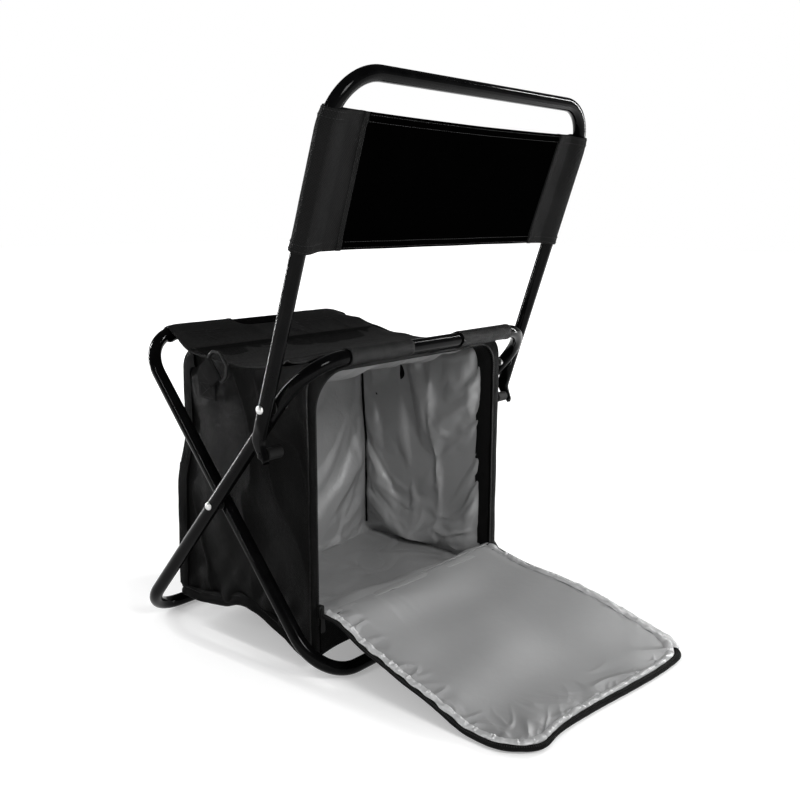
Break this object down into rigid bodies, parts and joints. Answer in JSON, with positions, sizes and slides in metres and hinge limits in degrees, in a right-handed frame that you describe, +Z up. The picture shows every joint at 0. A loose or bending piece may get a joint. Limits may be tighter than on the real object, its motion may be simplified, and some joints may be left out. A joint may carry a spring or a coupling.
{
  "type": "folding cooler stool",
  "caption": "Folding stool on crossed tubular legs, with a fabric sling seat, a pivoting backrest and a soft insulated cooler bag with a fold-down zip door under the seat.",
  "frame": {"origin": "on the floor, under the middle of the front foot bar", "axes": "+Z up; the sitter faces -Y, so the backrest and the bag's door are towards +Y; +X is the sitter's left"},
  "size_m": [0.4722, 0.5679, 0.6521],
  "materials": {
    "frame_steel": "gloss black enamel on steel tube",
    "rivet_steel": "bright plated steel rivets and pins",
    "washer_plastic": "black plastic washers",
    "stop_rubber": "matt black rubber sleeve",
    "shell_fabric": "black coated polyester, plain weave",
    "lining_film": "grey-silver insulated lining film, crinkled",
    "board_plastic": "stiff board, hidden",
    "binding_tape": "black woven binding and webbing",
    "zip_black": "black coil zip on woven tape",
    "ring_plastic": "black moulded plastic"
  },
  "bodies": {
    "root": {"outer_leg_frame": "frame_steel", "seat_tunnel_rear_left": "shell_fabric", "seat_tunnel_rear_right": "shell_fabric", "seat_panel": "shell_fabric", "leg_rivet_left": "rivet_steel", "leg_rivet_right": "rivet_steel", "leg_washer_left": "washer_plastic", "leg_washer_right": "washer_plastic", "backrest_rivet_left": "rivet_steel", "backrest_rivet_right": "rivet_steel", "backrest_washer_left": "washer_plastic", "backrest_washer_right": "washer_plastic", "bag_side_panel_left": "shell_fabric", "bag_side_panel_right": "shell_fabric", "bag_front_panel": "shell_fabric", "bag_back_panel": "shell_fabric", "bag_top_panel": "shell_fabric", "bag_base_panel": "shell_fabric", "base_board": "board_plastic", "bag_lining": "lining_film", "front_pocket": "shell_fabric", "front_pocket_flap": "shell_fabric", "edge_binding_left": "binding_tape", "edge_binding_right": "binding_tape", "bottom_piping": "binding_tape", "door_hinge_bead": "binding_tape", "bag_zip_tape": "zip_black", "webbing_loop_left": "binding_tape", "webbing_loop_right": "binding_tape"},
    "inner_leg": {"inner_leg_frame": "frame_steel", "seat_tunnel_front_left": "shell_fabric", "seat_tunnel_front_right": "shell_fabric"},
    "backrest": {"backrest_frame": "frame_steel", "backrest_panel": "shell_fabric", "stop_pin_left": "rivet_steel", "stop_pin_right": "rivet_steel", "stop_sleeve_left": "stop_rubber", "stop_sleeve_right": "stop_rubber"},
    "door": {"door_panel": "shell_fabric", "door_lining": "lining_film", "door_zip_tape": "zip_black"},
    "slider": {"zip_slider": "ring_plastic"},
    "pull": {"zip_pull": "ring_plastic"},
    "ring_left": {"d_ring_left": "ring_plastic"},
    "ring_right": {"d_ring_right": "ring_plastic"}
  },
  "joints": [
    {"name": "leg_fold", "type": "hinge", "parent": "root", "child": "inner_leg", "pos_m": [0, 0.1536, 0.18498], "axis": [-1, 0, 0], "range_deg": [0, 76], "deforming": ["seat_panel"]},
    {"name": "backrest_tilt", "type": "hinge", "parent": "root", "child": "backrest", "pos_m": [0, 0.26744, 0.31615], "axis": [1, 0, 0], "range_deg": [-17, 94]},
    {"name": "door_fold", "type": "hinge", "parent": "root", "child": "door", "pos_m": [0, 0.2836, 0.069], "axis": [1, 0, 0], "range_deg": [0, 103.4]},
    {"name": "zip_slide", "type": "slide", "parent": "root", "child": "slider", "axis": [0, 0, 1], "range_m": [0, 0.19]},
    {"name": "zip_pull_swing", "type": "hinge", "parent": "slider", "child": "pull", "pos_m": [0.1661, 0.28885, 0.0813], "axis": [1, 0, 0], "range_deg": [0, 150]},
    {"name": "ring_left_swing", "type": "hinge", "parent": "root", "child": "ring_left", "pos_m": [0.17227, 0.12131, 0.33528], "axis": [0, 0.6428, -0.766], "range_deg": [-4, 15]},
    {"name": "ring_right_swing", "type": "hinge", "parent": "root", "child": "ring_right", "pos_m": [-0.17227, 0.12131, 0.30728], "axis": [0, -0.6428, 0.766], "range_deg": [-4, 15]}
  ]
}
